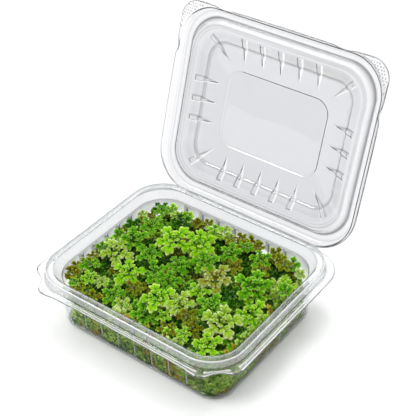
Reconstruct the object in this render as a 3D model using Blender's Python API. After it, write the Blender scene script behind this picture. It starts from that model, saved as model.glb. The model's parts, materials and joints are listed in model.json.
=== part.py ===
"""An open, hinged clear plastic box that holds a tangled mat of mosquito fern.

The frame's origin is on the table under the middle of the tray. X runs along the hinge, Y towards
the hinge at the back, and Z up. Lengths below are in millimetres and angles in degrees.
"""
import math

import bmesh
import bpy
from mathutils import Matrix, Vector

MM = 0.001

# Driving dimensions: the rim bead is the size that the rest follows
RIM_WIDTH = 150.0
RIM_DEPTH = 126.0
RIM_RADIUS = 24.0
SHEET = 0.6
FLANGE_TOP = 37.5
CORNER_STEPS = 6
RING_LENGTH = 8.0
MITRE_LIMIT = 0.5
CLEAR_ROUGHNESS = 0.05

# Upper face of the tray's sheet, from the floor out: inset from the rim, height, corner radius
TRAY_FLOOR = ((17.0, 0.6, 10.5), (14.4, 0.6, 12.0), (11.8, 1.6, 13.0), (10.3, 4.0, 14.0))
TRAY_RIBBED = ((10.2, 6.0, 14.3), (8.9, 33.5, 19.0))
TRAY_RIM = ((8.7, 35.6, 20.0), (8.2, 37.3, 20.8), (5.3, 42.7, 19.6), (4.6, 43.5, 20.0),
            (0.9, 43.5, 23.2), (0.0, 42.7, 24.0), (-0.2, 37.5, 24.2), (-1.0, 37.5, 25.0))
WALL_RIB_DEPTH = 1.0
WALL_RIB_WIDTH = 3.2
WALL_RIB_CREST = 1.6
WALL_RIBS_X = (-40.5, -27.0, -13.5, 0.0, 13.5, 27.0, 40.5)
WALL_RIBS_Y = (-24.2, -12.1, 0.0, 12.1, 24.2)

# Tray flange, with a thumb scallop between two lobes at each front corner
FLANGE_HALF_WIDTH = 80.0
FLANGE_BACK = 64.8
FLANGE_BACK_RADIUS = 21.0
FLANGE_LOBES = ((80.0, -42.0), (80.5, -48.0), (79.6, -53.0), (75.8, -55.6), (71.4, -57.2),
                (68.8, -59.6), (66.7, -62.9), (65.2, -66.4), (61.5, -68.6), (56.0, -68.4),
                (50.0, -67.0))

# Hinge line and lid, modelled shut and then swung open
HINGE_Y = 65.2
HINGE_Z = 37.7
OPEN_ANGLE = 108.5
LID_CENTRE = ((39.0, 48.4, 8.5), (37.1, 48.4, 9.7), (36.5, 47.9, 10.3))
LID_RIBBED = ((30.0, 46.9, 11.0), (20.6, 45.6, 12.4), (19.7, 44.8, 13.2), (13.4, 41.6, 18.0))
LID_RIM = ((8.8, 40.0, 20.5), (7.6, 40.2, 21.0), (6.2, 42.6, 21.6), (4.6, 43.95, 22.0),
           (0.7, 43.95, 23.4), (-0.4, 42.9, 24.4), (-0.55, 37.9, 24.5), (-1.3, 37.9, 25.3))
LID_RIB_DEPTHS = (0.0, 2.0, 2.2, 0.0)
LID_RIB_WIDTH = 4.4
LID_RIB_CREST = 2.4
LID_RIBS_X = (-28.4, -14.2, 0.0, 14.2, 28.4)
LID_RIBS_Y = (-14.0, 0.0, 14.0)
LID_RIB_CORNER_ANGLES = (18.0, 35.5, 40.0)

# Lid flange: plain round corners at the hinge, tabs with a notch on each side at the free corners
LID_HALF_WIDTH = 78.6
LID_BACK = 64.8
LID_BACK_RADIUS = 28.0
LID_TAB_RADIUS = 13.0
LID_TAB_CENTRE = (65.2, -52.9)
LID_SIDE_NOTCH = ((78.6, -27.0), (77.4, -29.4), (76.6, -31.6), (76.6, -33.2), (77.3, -35.6),
                  (78.2, -38.0))
LID_FRONT_NOTCH = ((53.0, -65.9), (49.6, -65.1), (46.4, -64.5), (43.0, -64.5), (39.6, -65.2),
                   (36.2, -65.8))

# Fern: a matted bed of low waves, each a share of the lump, turns per millimetre and a start
MAT_WALL_MARGIN = 1.6
MAT_FLOOR_MARGIN = 1.0
MAT_BOTTOM = 1.1
MAT_TOP = 26.6
MAT_LUMP = 1.0
MAT_WAVES = ((1.0, 0.21, 0.24, 0.6), (0.6, 0.11, -0.17, 0.0))
MAT_EDGE_WIDTH = 10.0
MAT_EDGE_DROP = 2.4
MAT_RINGS = 6
MAT_LEAST_RADIUS = 2.0
BED_ROUGHNESS = 0.7

# Plants: flat rosettes in layers that keep clear of each other, less near the wall higher up
LAYER_WALL_MARGINS = (0.6, 2.0, 4.0, 7.0)
LOWEST_LAYER = 29.5
LAYER_STEP = 2.5
PLANT_GAP = 0.5
PLANT_SHEET = 1.0
PLANT_HEART = 0.6
PLANT_LARGE = 6.0
PLANT_TURN = 2.4
PLANT_LEAN = 1.7
LEAN_RISE = 0.35
FRONDS_LARGE = 5
FRONDS_SMALL = 4
FROND_UNEVEN = 0.08
FROND_RISE = 1.3
FROND_DROOP = 1.5
FROND_ROUGHNESS = 0.45
STEM_SIDES = 3
STEM_RADIUS = 0.7
STEM_GAP = 0.8

# One frond's outline: share of its length, and share of the half angle between fronds
FROND_SHAPE = ((0.5, -1.0), (0.92, -0.66), (1.0, 0.0), (0.92, 0.66))

# Each plant that stands out: middle x and y, reach wanted for its fronds, layer and colour
PLANTS = (
    (-58, 20, 4.8, 1, "russet"), (-56, -41, 6.8, 1, "green"), (-54, -30, 8.8, 2, "green"),
    (-51, 39, 6.0, 3, "green"), (-50, -10, 11.5, 2, "pale"), (-47, 5, 9.4, 3, "green"),
    (-46, 23, 8.4, 3, "green"), (-45, -41, 6.2, 3, "bright"), (-49, 47, 6.0, 0, "green"),
    (-38, -37, 5.2, 2, "pale"), (-42, -46, 5.2, 0, "green"), (-38, 46, 5.8, 1, "green"),
    (-30, 1, 8.9, 2, "green"), (-33, 38, 7.5, 2, "dark"), (-27, -23, 11.0, 3, "bright"),
    (-25, 18, 12.5, 3, "bright"), (-26, 48, 6.0, 0, "russet"), (-25, -40, 7.5, 1, "green"),
    (-17, -30, 5.2, 2, "russet"), (-16, -12, 8.9, 2, "green"), (-16, -43, 6.0, 0, "pale"),
    (-10, 27, 11.0, 2, "bright"), (-8, 3, 7.8, 2, "green"), (-10, 44, 7.0, 1, "bright"),
    (-5, -11, 8.4, 1, "green"), (3, -31, 11.0, 3, "bright"), (6, 12, 8.9, 3, "green"),
    (6, 41, 5.5, 3, "russet"), (1, -41, 10.0, 0, "green"), (14, 30, 7.0, 3, "green"),
    (12, -37, 5.5, 1, "bright"), (19, 41, 6.5, 3, "green"), (15, -26, 8.9, 2, "pale"),
    (16, -6, 7.5, 1, "bright"), (20, 7, 11.5, 2, "mint"), (24, 20, 6.2, 3, "russet"),
    (19, -43, 6.5, 0, "russet"), (24, -29, 6.2, 1, "russet"), (33, 36, 7.5, 3, "green"),
    (34, -17, 9.0, 3, "green"), (33, -44, 5.5, 2, "bright"), (32, -34, 7.0, 0, "russet"),
    (33, 48, 5.5, 0, "russet"), (38, -1, 6.9, 2, "dark"), (38, 29, 6.2, 2, "russet"),
    (45, 12, 12.5, 3, "green"), (46, -24, 12.0, 2, "pale"), (49, -41, 8.8, 1, "bright"),
    (49, 40, 5.8, 3, "russet"), (53, -3, 11.2, 0, "bright"), (55, 29, 8.8, 0, "pale"),
    (58, -28, 6.2, 0, "green"), (55, 45, 5.5, 0, "russet"),
)

COLOURS = {
    "green": (0.10, 0.33, 0.03), "bright": (0.20, 0.52, 0.04), "pale": (0.42, 0.62, 0.22),
    "mint": (0.38, 0.50, 0.20), "dark": (0.04, 0.20, 0.03), "russet": (0.28, 0.22, 0.04),
    "bed": (0.06, 0.15, 0.02), "clear": (0.88, 0.90, 0.92),
}


def clear_scene():
    """Remove every object that the file opened with."""
    for item in list(bpy.data.objects):
        bpy.data.objects.remove(item, do_unlink=True)


def make_material(name, colour, roughness, transmission=0.0):
    """A Principled material of one colour."""
    material = bpy.data.materials.new(name)
    material.use_nodes = True
    shader = material.node_tree.nodes["Principled BSDF"]
    shader.inputs["Base Color"].default_value = (*colour, 1.0)
    shader.inputs["Roughness"].default_value = roughness
    shader.inputs["Metallic"].default_value = 0.0
    shader.inputs["Transmission Weight"].default_value = transmission
    return material


def make_object(name, mesh_data, material, parent=None):
    """Turn a closed bmesh in millimetres into an object in metres."""
    bmesh.ops.recalc_face_normals(mesh_data, faces=mesh_data.faces)
    bmesh.ops.scale(mesh_data, vec=(MM, MM, MM), verts=mesh_data.verts)
    mesh = bpy.data.meshes.new(name)
    mesh_data.to_mesh(mesh)
    mesh_data.free()
    mesh.materials.append(material)
    item = bpy.data.objects.new(name, mesh)
    bpy.context.scene.collection.objects.link(item)
    item.parent = parent


def offset_profile(profile, thickness):
    """Move a profile sideways by the sheet's thickness, to the left of its outward run."""
    points = [Vector((-inset, height)) for inset, height, _ in profile]
    result = []
    for index, point in enumerate(points):
        before = (point - points[index - 1]).normalized() if index else None
        after = (points[index + 1] - point).normalized() if index + 1 < len(points) else None
        runs = [run for run in (before, after) if run is not None]
        normals = [Vector((-run.y, run.x)) for run in runs]
        middle = sum(normals, Vector((0.0, 0.0))).normalized()
        moved = point + middle * (thickness / max(middle.dot(normals[0]), MITRE_LIMIT))
        grown = moved.x - point.x
        result.append((-moved.x, moved.y, profile[index][2] + grown))
    return result


def corner_arc(centre, radius, quarter, angles, weights):
    """Points on one rounded corner: place along the ring, x, y, outward normal and rib weight."""
    points = []
    for angle, weight in zip(angles, weights):
        turn = math.radians(90.0 * quarter + angle)
        normal = Vector((math.cos(turn), math.sin(turn)))
        spot = centre + radius * normal
        points.append((2 * quarter + 1 + angle / 90.0, *spot, *normal, weight))
    return points


def rib_stations(centres, rib_width, crest_width):
    """Stations along a straight side: each rib's two feet and two crest edges."""
    stations = []
    for centre in centres:
        stations += [(centre - rib_width / 2, 0.0), (centre - crest_width / 2, 1.0),
                     (centre + crest_width / 2, 1.0), (centre + rib_width / 2, 0.0)]
    return stations


def ring_points(inset, radius, stations_x=(), stations_y=(), corner_ribs=()):
    """A rounded rectangle inset from the rim, as place, x, y, outward normal and rib weight."""
    half_x = RIM_WIDTH / 2 - inset
    half_y = RIM_DEPTH / 2 - inset
    run_x = half_x - radius
    run_y = half_y - radius
    angles = [90.0 * step / CORNER_STEPS for step in range(CORNER_STEPS + 1)]
    weights = [0.0] * len(angles)
    if corner_ribs:
        angles = [0.0, *corner_ribs, *(90.0 - angle for angle in reversed(corner_ribs)), 90.0]
        weights = [float(angle in (corner_ribs[-1], 90.0 - corner_ribs[-1])) for angle in angles]
    points = []
    for quarter in range(4):
        turn = Matrix.Rotation(math.radians(90.0 * quarter), 2)
        along_y = quarter % 2 == 0
        reach = half_x if along_y else half_y
        run = run_y if along_y else run_x
        normal = turn @ Vector((1.0, 0.0))
        for offset, weight in stations_y if along_y else stations_x:
            if abs(offset) < run:
                spot = turn @ Vector((reach, offset))
                place = 2 * quarter + (offset / run + 1) / 2
                points.append((place, *spot, *normal, weight))
        centre = Vector((run_x if quarter in (0, 3) else -run_x, run_y if quarter in (0, 1) else -run_y))
        points += corner_arc(centre, radius, quarter, angles, weights)
    return points


def place_ring(mesh_data, points, height, push_in=0.0, push_down=0.0):
    """Add a ring's vertices at one height, pushed in or down where it has ribs."""
    ring = []
    for place, x, y, normal_x, normal_y, weight in points:
        inward = push_in * weight
        spot = (x - normal_x * inward, y - normal_y * inward, height - push_down * weight)
        ring.append((place, mesh_data.verts.new(spot)))
    return ring


def join_rings(mesh_data, first, second):
    """Bridge two rings, point to point if they have as many points, and else by place."""
    step_a, step_b = 0, 0
    count_a, count_b = len(first), len(second)
    if count_a == count_b:
        second = [(first[index][0], second[index][1]) for index in range(count_a)]
    while step_a < count_a or step_b < count_b:
        vert_a = first[step_a % count_a][1]
        vert_b = second[step_b % count_b][1]
        next_a = next_place(first, step_a)
        next_b = next_place(second, step_b)
        if abs(next_a - next_b) < 1e-6:
            step_a += 1
            step_b += 1
            mesh_data.faces.new((vert_a, vert_b, second[step_b % count_b][1],
                                 first[step_a % count_a][1]))
        elif next_a < next_b:
            step_a += 1
            mesh_data.faces.new((vert_a, vert_b, first[step_a % count_a][1]))
        else:
            step_b += 1
            mesh_data.faces.new((vert_a, vert_b, second[step_b % count_b][1]))


def next_place(ring, step):
    """The place of the point after this step, with the ring's start again at its end."""
    if step >= len(ring):
        return math.inf
    if step + 1 == len(ring):
        return ring[0][0] + RING_LENGTH
    return ring[step + 1][0]


def join_chain(mesh_data, rings):
    """Bridge each ring to the next and close both ends with flat faces."""
    for first, second in zip(rings, rings[1:]):
        join_rings(mesh_data, first, second)
    mesh_data.faces.new([vert for _, vert in rings[0]])
    mesh_data.faces.new([vert for _, vert in rings[-1]])


def outline_ring(mesh_data, corners, height):
    """Add a flange outline, given its four corners' points from back right round to front right."""
    ring = []
    for quarter, corner in enumerate(corners):
        last = len(corner) - 1
        for index, (x, y) in enumerate(corner):
            ring.append((2 * quarter + 1 + index / last, mesh_data.verts.new((x, y, height))))
    return ring


def mirrored(points):
    """The same corner on the other side, in ring order."""
    return [(-x, y) for x, y in reversed(points)]


def round_corner(half_width, back, radius):
    """The points of a plain rounded corner at the back right."""
    arc = []
    for step in range(CORNER_STEPS + 1):
        angle = math.radians(90.0 * step / CORNER_STEPS)
        arc.append((half_width - radius + radius * math.cos(angle),
                    back - radius + radius * math.sin(angle)))
    return arc


def tray_outline():
    """The tray flange: round at the back, with lobes and a scallop at the front corners."""
    back = round_corner(FLANGE_HALF_WIDTH, FLANGE_BACK, FLANGE_BACK_RADIUS)
    front_right = list(reversed(FLANGE_LOBES))
    return [back, mirrored(back), mirrored(front_right), front_right]


def lid_outline():
    """The lid flange: round at the hinge, with a tab between two notches at each free corner."""
    back = round_corner(LID_HALF_WIDTH, LID_BACK, LID_BACK_RADIUS)
    tab = []
    for step in range(CORNER_STEPS + 1):
        angle = math.radians(-90.0 * step / CORNER_STEPS)
        tab.append((LID_TAB_CENTRE[0] + LID_TAB_RADIUS * math.cos(angle),
                    LID_TAB_CENTRE[1] + LID_TAB_RADIUS * math.sin(angle)))
    front_right = list(reversed([*LID_SIDE_NOTCH, *tab, *LID_FRONT_NOTCH]))
    return [back, mirrored(back), mirrored(front_right), front_right]


def tray_rings(mesh_data, profile):
    """The rings of one face of the tray's sheet, from the floor to the rim."""
    rings = []
    ribbed = range(len(TRAY_FLOOR), len(TRAY_FLOOR) + len(TRAY_RIBBED))
    for index, (inset, height, radius) in enumerate(profile):
        if index in ribbed:
            points = ring_points(inset, radius,
                                 rib_stations(WALL_RIBS_X, WALL_RIB_WIDTH, WALL_RIB_CREST),
                                 rib_stations(WALL_RIBS_Y, WALL_RIB_WIDTH, WALL_RIB_CREST))
            rings.append(place_ring(mesh_data, points, height, push_in=WALL_RIB_DEPTH))
        else:
            rings.append(place_ring(mesh_data, ring_points(inset, radius), height))
    return rings


def lid_rings(mesh_data, profile):
    """The rings of one face of the lid's sheet, from the middle to the rim."""
    rings = []
    first_ribbed = len(LID_CENTRE)
    for index, (inset, height, radius) in enumerate(profile):
        row = index - first_ribbed
        if 0 <= row < len(LID_RIBBED):
            points = ring_points(inset, radius,
                                 rib_stations(LID_RIBS_X, LID_RIB_WIDTH, LID_RIB_CREST),
                                 rib_stations(LID_RIBS_Y, LID_RIB_WIDTH, LID_RIB_CREST),
                                 LID_RIB_CORNER_ANGLES)
            rings.append(place_ring(mesh_data, points, height, push_down=LID_RIB_DEPTHS[row]))
        else:
            rings.append(place_ring(mesh_data, ring_points(inset, radius), height))
    return rings


def build_tray(material):
    """The tray: floor, ribbed wall, hollow rim bead and flange, all one formed sheet."""
    mesh_data = bmesh.new()
    upper = [*TRAY_FLOOR, *TRAY_RIBBED, *TRAY_RIM]
    lower = offset_profile(upper, -SHEET)
    rings = tray_rings(mesh_data, upper)
    rings.append(outline_ring(mesh_data, tray_outline(), FLANGE_TOP))
    rings.append(outline_ring(mesh_data, tray_outline(), FLANGE_TOP - SHEET))
    rings += reversed(tray_rings(mesh_data, lower))
    join_chain(mesh_data, rings)
    make_object("tray", mesh_data, material)


def build_lid(material, hinge):
    """The lid: panel, finger ribs, plug wall, rim channel and flange, all one formed sheet."""
    mesh_data = bmesh.new()
    lower = [*LID_CENTRE, *LID_RIBBED, *LID_RIM]
    upper = offset_profile(lower, SHEET)
    flange_height = LID_RIM[-1][1]
    rings = lid_rings(mesh_data, lower)
    rings.append(outline_ring(mesh_data, lid_outline(), flange_height))
    rings.append(outline_ring(mesh_data, lid_outline(), flange_height + SHEET))
    rings += reversed(lid_rings(mesh_data, upper))
    join_chain(mesh_data, rings)
    bmesh.ops.translate(mesh_data, vec=(0.0, -HINGE_Y, -HINGE_Z), verts=mesh_data.verts)
    make_object("lid", mesh_data, material, hinge)


def mat_height(x, y):
    """The bed's upper face: low lumps that fall away at the walls."""
    lumps = sum(share * math.sin(along_x * x + along_y * y + start)
                for share, along_x, along_y, start in MAT_WAVES)
    edge = max(0.0, 1.0 - wall_distance(x, y) / MAT_EDGE_WIDTH)
    return MAT_TOP + MAT_LUMP * lumps - MAT_EDGE_DROP * edge * edge


def wall_distance(x, y):
    """How far a point is inside the crests of the tray's wall ribs, level with the plants."""
    inset, _, radius = TRAY_RIBBED[1]
    half_x = RIM_WIDTH / 2 - inset - WALL_RIB_DEPTH
    half_y = RIM_DEPTH / 2 - inset - WALL_RIB_DEPTH
    over_x = abs(x) - (half_x - radius)
    over_y = abs(y) - (half_y - radius)
    outside = math.hypot(max(over_x, 0.0), max(over_y, 0.0))
    return radius - outside - min(max(over_x, over_y), 0.0)


def build_mat(material):
    """The matted bed of stems, roots and old fronds that fills the tray."""
    mesh_data = bmesh.new()
    low_inset, low_height, low_radius = TRAY_RIBBED[0]
    top_inset, _, top_radius = TRAY_RIBBED[1]
    margin = WALL_RIB_DEPTH + MAT_WALL_MARGIN
    rings = [
        place_ring(mesh_data, ring_points(TRAY_FLOOR[1][0] + MAT_FLOOR_MARGIN, low_radius), MAT_BOTTOM),
        place_ring(mesh_data, ring_points(low_inset + margin, low_radius), low_height),
    ]
    for step in range(MAT_RINGS):
        share = step / MAT_RINGS
        inset = top_inset + margin + share * (RIM_DEPTH / 2 - top_inset - margin)
        radius = max(top_radius * (1.0 - share), MAT_LEAST_RADIUS)
        stations = [(offset, 0.0) for offset in WALL_RIBS_X]
        ring = place_ring(mesh_data, ring_points(inset, radius, stations, stations), 0.0)
        for _, vert in ring:
            vert.co.z = mat_height(vert.co.x, vert.co.y)
        rings.append(ring)
    for first, second in zip(rings, rings[1:]):
        join_rings(mesh_data, first, second)
    mesh_data.faces.new([vert for _, vert in rings[0]])
    close_ridge(mesh_data, rings[-1])
    make_object("fern_mat", mesh_data, material)


def close_ridge(mesh_data, ring):
    """Close the bed's last ring, a long narrow one, with strips across it."""
    verts = [vert for _, vert in ring]
    first = min(range(len(verts)), key=lambda index: -verts[index].co.x)
    ordered = verts[first:] + verts[:first]
    left, right = 0, len(ordered) - 1
    while right - left > 1:
        mesh_data.faces.new((ordered[left], ordered[left + 1], ordered[right]))
        left += 1
        if right - left > 1:
            mesh_data.faces.new((ordered[left], ordered[right - 1], ordered[right]))
            right -= 1


def clear_reach(index, reaches):
    """How far a plant can reach past the wall's ribs and the plants that already have theirs."""
    x, y, reach, layer, _ = PLANTS[index]
    room = min(reach, wall_distance(x, y) - LAYER_WALL_MARGINS[layer])
    for other, other_reach in reaches.items():
        other_x, other_y, _, other_layer, _ = PLANTS[other]
        apart = math.hypot(x - other_x, y - other_y) - PLANT_GAP
        if other_layer == layer:
            room = min(room, apart - other_reach)
        elif other_layer > layer:
            room = min(room, apart - STEM_RADIUS)
    return room


def clear_reaches():
    """Every plant's reach, given out from the widest plant to the narrowest."""
    reaches = {}
    for index in sorted(range(len(PLANTS)), key=lambda item: -PLANTS[item][2]):
        reaches[index] = clear_reach(index, reaches)
    return reaches


def frond_outline(reach, fronds, turn):
    """A rosette seen from above: fan-shaped fronds with a notch between each two."""
    points = []
    for frond in range(fronds):
        middle = turn + 2.0 * math.pi * frond / fronds
        length = reach * (1.0 - FROND_UNEVEN * (frond % 2))
        for share, part in FROND_SHAPE:
            points.append((length * share, middle + part * math.pi / fronds))
    return points


def build_plant(number, reach, material):
    """One plant: a rosette of fronds on a slender stem that stands on the bed."""
    x, y, _, layer, _ = PLANTS[number - 1]
    mesh_data = bmesh.new()
    fronds = FRONDS_LARGE if reach >= PLANT_LARGE else FRONDS_SMALL
    outline = frond_outline(reach, fronds, number * PLANT_TURN)
    upper, lower = [], []
    for index, (distance, angle) in enumerate(outline):
        share = distance / reach
        height = FROND_RISE * share - FROND_DROOP * share * share
        spot = (distance * math.cos(angle), distance * math.sin(angle))
        place = RING_LENGTH * index / len(outline)
        upper.append((place, mesh_data.verts.new((*spot, height + PLANT_SHEET))))
        lower.append((place, mesh_data.verts.new((*spot, height))))
    collar = []
    for corner in range(STEM_SIDES):
        angle = outline[0][1] + 2.0 * math.pi * corner / STEM_SIDES
        spot = (STEM_RADIUS * math.cos(angle), STEM_RADIUS * math.sin(angle), 0.0)
        collar.append((RING_LENGTH * corner / STEM_SIDES, mesh_data.verts.new(spot)))
    join_rings(mesh_data, upper, lower)
    join_rings(mesh_data, lower, collar)
    close_to_point(mesh_data, upper, (0.0, 0.0, PLANT_SHEET * PLANT_HEART))
    tilt = math.asin(LEAN_RISE / reach) * math.sin(number * PLANT_LEAN)
    lean = Matrix.Rotation(number * PLANT_TURN, 4, "Z") @ Matrix.Rotation(tilt, 4, "X")
    bmesh.ops.transform(mesh_data, matrix=lean, verts=mesh_data.verts)
    height = LOWEST_LAYER + layer * LAYER_STEP
    close_to_point(mesh_data, collar, (0.0, 0.0, mat_height(x, y) + STEM_GAP - height))
    bmesh.ops.translate(mesh_data, vec=(x, y, height), verts=mesh_data.verts)
    make_object(f"fern_plant_{number:02d}", mesh_data, material)


def close_to_point(mesh_data, ring, spot):
    """Close a ring with a fan of triangles to one point."""
    point = mesh_data.verts.new(spot)
    for index, (_, vert) in enumerate(ring):
        mesh_data.faces.new((vert, ring[(index + 1) % len(ring)][1], point))


def build_fern():
    """The bed and every plant that stands out of it."""
    build_mat(make_material("fern_bed", COLOURS["bed"], BED_ROUGHNESS))
    for index, reach in sorted(clear_reaches().items()):
        colour = PLANTS[index][4]
        material = make_material(f"fern_{index + 1:02d}_{colour}", COLOURS[colour], FROND_ROUGHNESS)
        build_plant(index + 1, reach, material)


def main():
    """Build the whole part with its lid standing open."""
    clear_scene()
    build_tray(make_material("clear_tray", COLOURS["clear"], CLEAR_ROUGHNESS, 1.0))
    hinge = bpy.data.objects.new("hinge_line", None)
    hinge.location = (0.0, HINGE_Y * MM, HINGE_Z * MM)
    hinge.rotation_euler.x = -math.radians(OPEN_ANGLE)
    bpy.context.scene.collection.objects.link(hinge)
    build_lid(make_material("clear_lid", COLOURS["clear"], CLEAR_ROUGHNESS, 1.0), hinge)
    build_fern()


main()
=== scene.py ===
"""The dressed model: an open, hinged clear plastic box that holds a tangled mat of mosquito fern.

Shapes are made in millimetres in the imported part's frame, and stored in metres.
"""
import json
import math
import random

import bpy
import numpy as np
from mathutils import Matrix, Vector, noise

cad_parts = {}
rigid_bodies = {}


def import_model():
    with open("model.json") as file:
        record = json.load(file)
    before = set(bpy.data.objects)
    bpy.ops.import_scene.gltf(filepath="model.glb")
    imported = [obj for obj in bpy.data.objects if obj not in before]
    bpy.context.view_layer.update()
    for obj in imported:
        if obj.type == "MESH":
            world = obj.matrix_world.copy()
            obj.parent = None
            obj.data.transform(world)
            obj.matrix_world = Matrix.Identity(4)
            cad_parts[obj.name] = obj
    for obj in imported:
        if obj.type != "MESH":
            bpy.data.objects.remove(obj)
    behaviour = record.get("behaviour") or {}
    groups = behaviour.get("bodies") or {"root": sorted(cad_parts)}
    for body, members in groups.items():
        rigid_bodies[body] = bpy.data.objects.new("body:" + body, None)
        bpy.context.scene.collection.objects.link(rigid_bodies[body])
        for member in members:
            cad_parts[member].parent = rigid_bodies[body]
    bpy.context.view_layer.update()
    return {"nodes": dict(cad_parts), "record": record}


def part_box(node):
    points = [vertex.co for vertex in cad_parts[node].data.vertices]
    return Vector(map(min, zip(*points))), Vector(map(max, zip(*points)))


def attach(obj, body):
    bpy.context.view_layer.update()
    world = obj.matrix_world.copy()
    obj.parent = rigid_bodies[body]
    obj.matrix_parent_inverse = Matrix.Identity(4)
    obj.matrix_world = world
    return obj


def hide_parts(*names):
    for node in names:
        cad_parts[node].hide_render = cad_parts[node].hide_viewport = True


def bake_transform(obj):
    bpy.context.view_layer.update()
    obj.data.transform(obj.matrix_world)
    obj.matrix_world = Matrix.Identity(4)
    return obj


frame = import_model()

MM = 0.001
chance = random.Random(7)

# Camera, as fitted to the photograph, in pixels, degrees and millimetres
IMAGE_SIDE = 416
SENSOR = 36.0
CAMERA_AZIMUTH = 38.36
CAMERA_ELEVATION = 37.81
CAMERA_ROLL = -2.02
CAMERA_DISTANCE = 714.3
CAMERA_FOCUS_PIXELS = 1058.9
CAMERA_TARGET = (-24.27, 56.15, 40.84)

# The box: rim, thickness of the sheet, hinge line, and how far the lid stands open
RIM_WIDTH = 150.0
RIM_DEPTH = 126.0
SHEET = 0.6
HINGE_Y = 65.2
HINGE_Z = 37.7
OPEN_ANGLE = 108.5
# Both sheets as rings from the middle outwards: inset from the rim, height, corner radius, share of
# rib, how clear the sheet is drawn (1 clear, as painted light; 0 the sheet's own tint; -1 a line of
# painted shade), and how much painted highlight it carries as milky sheet. Heights are of the tray's
# inner face and of the shut lid's underside.
TRAY_PROFILE = (
    (17.0, 0.6, 10.5, 0, 0.5, 0), (13.6, 0.6, 12.0, 0, 0.3, 0), (12.0, 0.7, 12.5, 0, -0.4, 0),
    (10.9, 1.2, 13.2, 0, -0.6, 0), (10.2, 2.4, 13.9, 0, 0.3, 0), (10.0, 4.0, 14.2, 0, 0.8, 0),
    (10.0, 6.0, 14.4, 1, 0.8, 0), (9.6, 16.0, 16.0, 1, 0.8, 0), (9.3, 24.0, 17.3, 1, 0.7, 0),
    (9.1, 29.0, 18.2, 1, 0.3, 0), (8.9, 33.5, 19.0, 1, 0.2, 0), (8.8, 35.2, 19.6, 1, 0.1, 0),
    (8.7, 36.0, 20.1, 0, -0.2, 0), (8.4, 36.7, 20.4, 0, -0.9, 0), (8.2, 37.3, 20.8, 0, -0.3, 0),
    (7.5, 37.9, 20.6, 0, 0.3, 0), (5.5, 42.4, 19.7, 0, 0.4, 0), (5.0, 43.1, 19.8, 0, -0.5, 0.05),
    (4.5, 43.45, 20.0, 0, 0.5, 0.15), (3.6, 43.5, 20.8, 0, 0.3, 0), (1.6, 43.5, 22.5, 0, -0.3, 0),
    (0.9, 43.45, 23.1, 0, -0.2, 0), (0.3, 43.1, 23.7, 0, 1.0, 1.0), (0.0, 42.5, 24.0, 0, -0.2, 0.3),
    (-0.1, 41.5, 24.1, 0, 0.4, 0.2), (-0.15, 39.0, 24.15, 0, 0.6, 0.2), (-0.25, 38.1, 24.2, 0, -0.2, 0.1),
    (-0.5, 37.65, 24.5, 0, -0.5, 0), (-0.9, 37.5, 24.9, 0, 0.0, 0),
)
LID_PROFILE = (
    (39.0, 48.5, 8.5, 0, 0, 0), (37.5, 48.5, 9.5, 0, 0, 0), (37.1, 48.45, 9.7, 0, -0.15, 0),
    (36.9, 48.35, 9.8, 0, 0.3, 0), (36.3, 47.75, 10.3, 0, -0.2, 0), (35.9, 47.7, 10.4, 0, 0, 0),
    (33.0, 47.4, 10.7, 0, 0, 0), (30.0, 46.9, 11.0, 0, 0, 0), (26.8, 46.5, 11.4, 0, 0, 0),
    (23.6, 46.0, 12.0, 0, 0, 0), (21.4, 45.8, 12.2, 0, 0, 0), (21.0, 45.75, 12.3, 0, -0.5, 0),
    (20.6, 45.5, 12.5, 0, -0.3, 0), (20.0, 44.9, 13.0, 0, -0.6, 0), (19.6, 44.7, 13.4, 0, -0.6, 0),
    (19.1, 44.5, 13.8, 0, 0, 0), (16.5, 43.2, 15.6, 0, -0.1, 0), (15.2, 42.6, 16.6, 0, -0.1, 0),
    (14.2, 42.1, 17.3, 0, 0.0, 0), (13.4, 41.6, 18.0, 0, 0.0, 0), (11.6, 41.0, 18.8, 0, 0.2, 0),
    (11.1, 40.95, 19.1, 0, -0.3, 0), (10.6, 40.5, 19.4, 0, 0.2, 0), (9.2, 40.0, 20.2, 0, -0.4, 0),
    (8.5, 40.0, 20.6, 0, 0.5, 0.05), (7.9, 40.1, 20.9, 0, 0.6, 0.1), (7.4, 40.4, 21.1, 0, 0.9, 0.1),
    (6.2, 42.6, 21.6, 0, -0.1, 0), (5.2, 43.7, 21.9, 0, -0.9, 0), (4.7, 43.9, 22.0, 0, -1.0, 0),
    (4.2, 44.1, 22.2, 0, 0.4, 0), (3.2, 43.75, 22.5, 0, 0.6, 0), (1.8, 43.75, 23.0, 0, 0.4, 0),
    (0.9, 44.1, 23.3, 0, -0.2, 0), (0.3, 43.8, 23.8, 0, 0.8, 0), (-0.2, 43.3, 24.2, 0, 0.2, 0),
    (-0.4, 42.7, 24.4, 0, 0.8, 0), (-0.5, 40.0, 24.45, 0, 0.8, 0), (-0.55, 39.0, 24.5, 0, 1.0, 0),
    (-0.65, 38.45, 24.6, 0, 0.8, 0), (-0.85, 38.08, 24.8, 0, 0.5, 0), (-1.15, 37.9, 25.1, 0, 1.0, 0),
)
# Rings above this height or within this inset have the rim's material
TRAY_RIM_HEIGHT = 36.0
LID_RIM_INSET = 3.9

# Ribs of the tray's wall: places, depth, half widths of foot and crest, painted shade on their sides
# and painted highlight on their crests
WALL_RIBS_X = (-40.5, -27.0, -13.5, 0.0, 13.5, 27.0, 40.5)
WALL_RIBS_Y = (-24.2, -12.1, 0.0, 12.1, 24.2)
WALL_RIB_DEPTH = 1.1
WALL_RIB_HALF = 1.2
WALL_RIB_CREST = 0.4
RIB_SIDE_PAINTED_SHADE = 1.1
RIB_CREST_PAINTED_HIGHLIGHT = 0.5
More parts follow.
